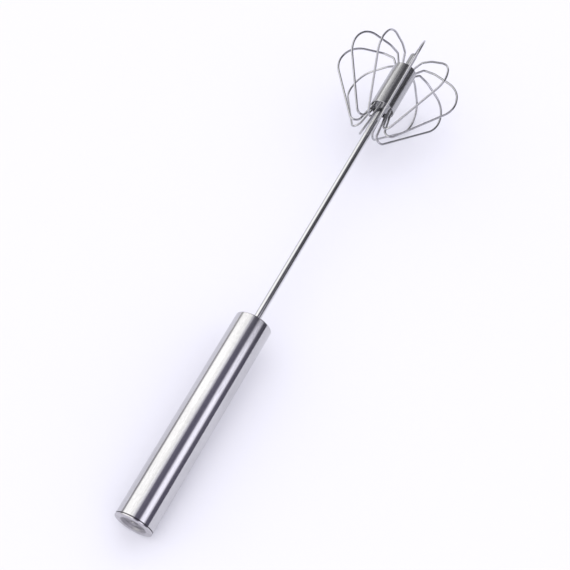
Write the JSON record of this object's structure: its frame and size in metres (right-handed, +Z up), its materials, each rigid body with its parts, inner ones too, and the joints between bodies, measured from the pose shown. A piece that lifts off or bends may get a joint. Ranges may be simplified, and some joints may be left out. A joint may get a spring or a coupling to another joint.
{
  "type": "push-down rotary whisk",
  "caption": "Hand whisk whose tube handle slides down a thin shaft; a twisted strip inside spins a head of bent wire loops and a spring pushes the handle back.",
  "frame": {"origin": "centre of the lying whisk's bounding box, on the surface it lies on", "axes": "+X along the whisk from the end cap to the tip, +Z up from the surface; the shaft's axis rises 4.66 degrees towards the tip, because the handle's cap and two wire loops rest on the surface"},
  "size_m": [0.2998, 0.0684, 0.0644],
  "materials": {
    "handle_steel": "bright stainless tube, polished with a fine lengthwise grain",
    "cap_steel": "pressed stainless sheet, satin, turned grain",
    "shaft_steel": "drawn stainless tube, polished",
    "hub_steel": "polished stainless tube",
    "wire_steel": "bright drawn stainless wire",
    "satin_steel": "grey satin stainless",
    "strip_steel": "bright rolled stainless strip",
    "spring_steel": "drawn spring wire",
    "white_plastic": "natural white acetal, moulded"
  },
  "bodies": {
    "handle": {"handle_tube": "handle_steel", "end_cap": "cap_steel", "cap_rivet": "cap_steel", "strip_anchor": "white_plastic", "strip_pin": "spring_steel", "drive_strip": "strip_steel", "front_bush": "white_plastic", "return_spring": "spring_steel"},
    "slider": {"spring_seat": "strip_steel"},
    "whisk": {"drive_nut": "white_plastic", "shaft_tube": "shaft_steel", "tip_plug": "satin_steel", "hub_sleeve": "hub_steel", "hub_core_near": "hub_steel", "hub_core_far": "hub_steel", "wire_loop_01": "wire_steel", "wire_loop_02": "wire_steel", "wire_loop_03": "wire_steel", "wire_loop_04": "wire_steel", "wire_loop_05": "wire_steel", "wire_loop_06": "wire_steel", "wire_loop_07": "wire_steel", "wire_loop_08": "wire_steel", "wire_loop_09": "wire_steel", "wire_loop_10": "wire_steel"}
  },
  "joints": [
    {"name": "plunge", "type": "slide", "parent": "handle", "child": "slider", "axis": [-0.9967, 0, -0.0812], "range_m": [0, 0.06], "stiffness_N_per_m": 76, "springref_m": -0.026, "deforming": ["return_spring"]},
    {"name": "spin", "type": "hinge", "parent": "slider", "child": "whisk", "pos_m": [0.10761, -0.00041, 0.03035], "axis": [-0.9967, 0, -0.0812], "range_deg": [0, 482]}
  ],
  "couplings": [
    {"joint": "spin", "follows": "plunge", "rad_per_m": 139.63}
  ]
}
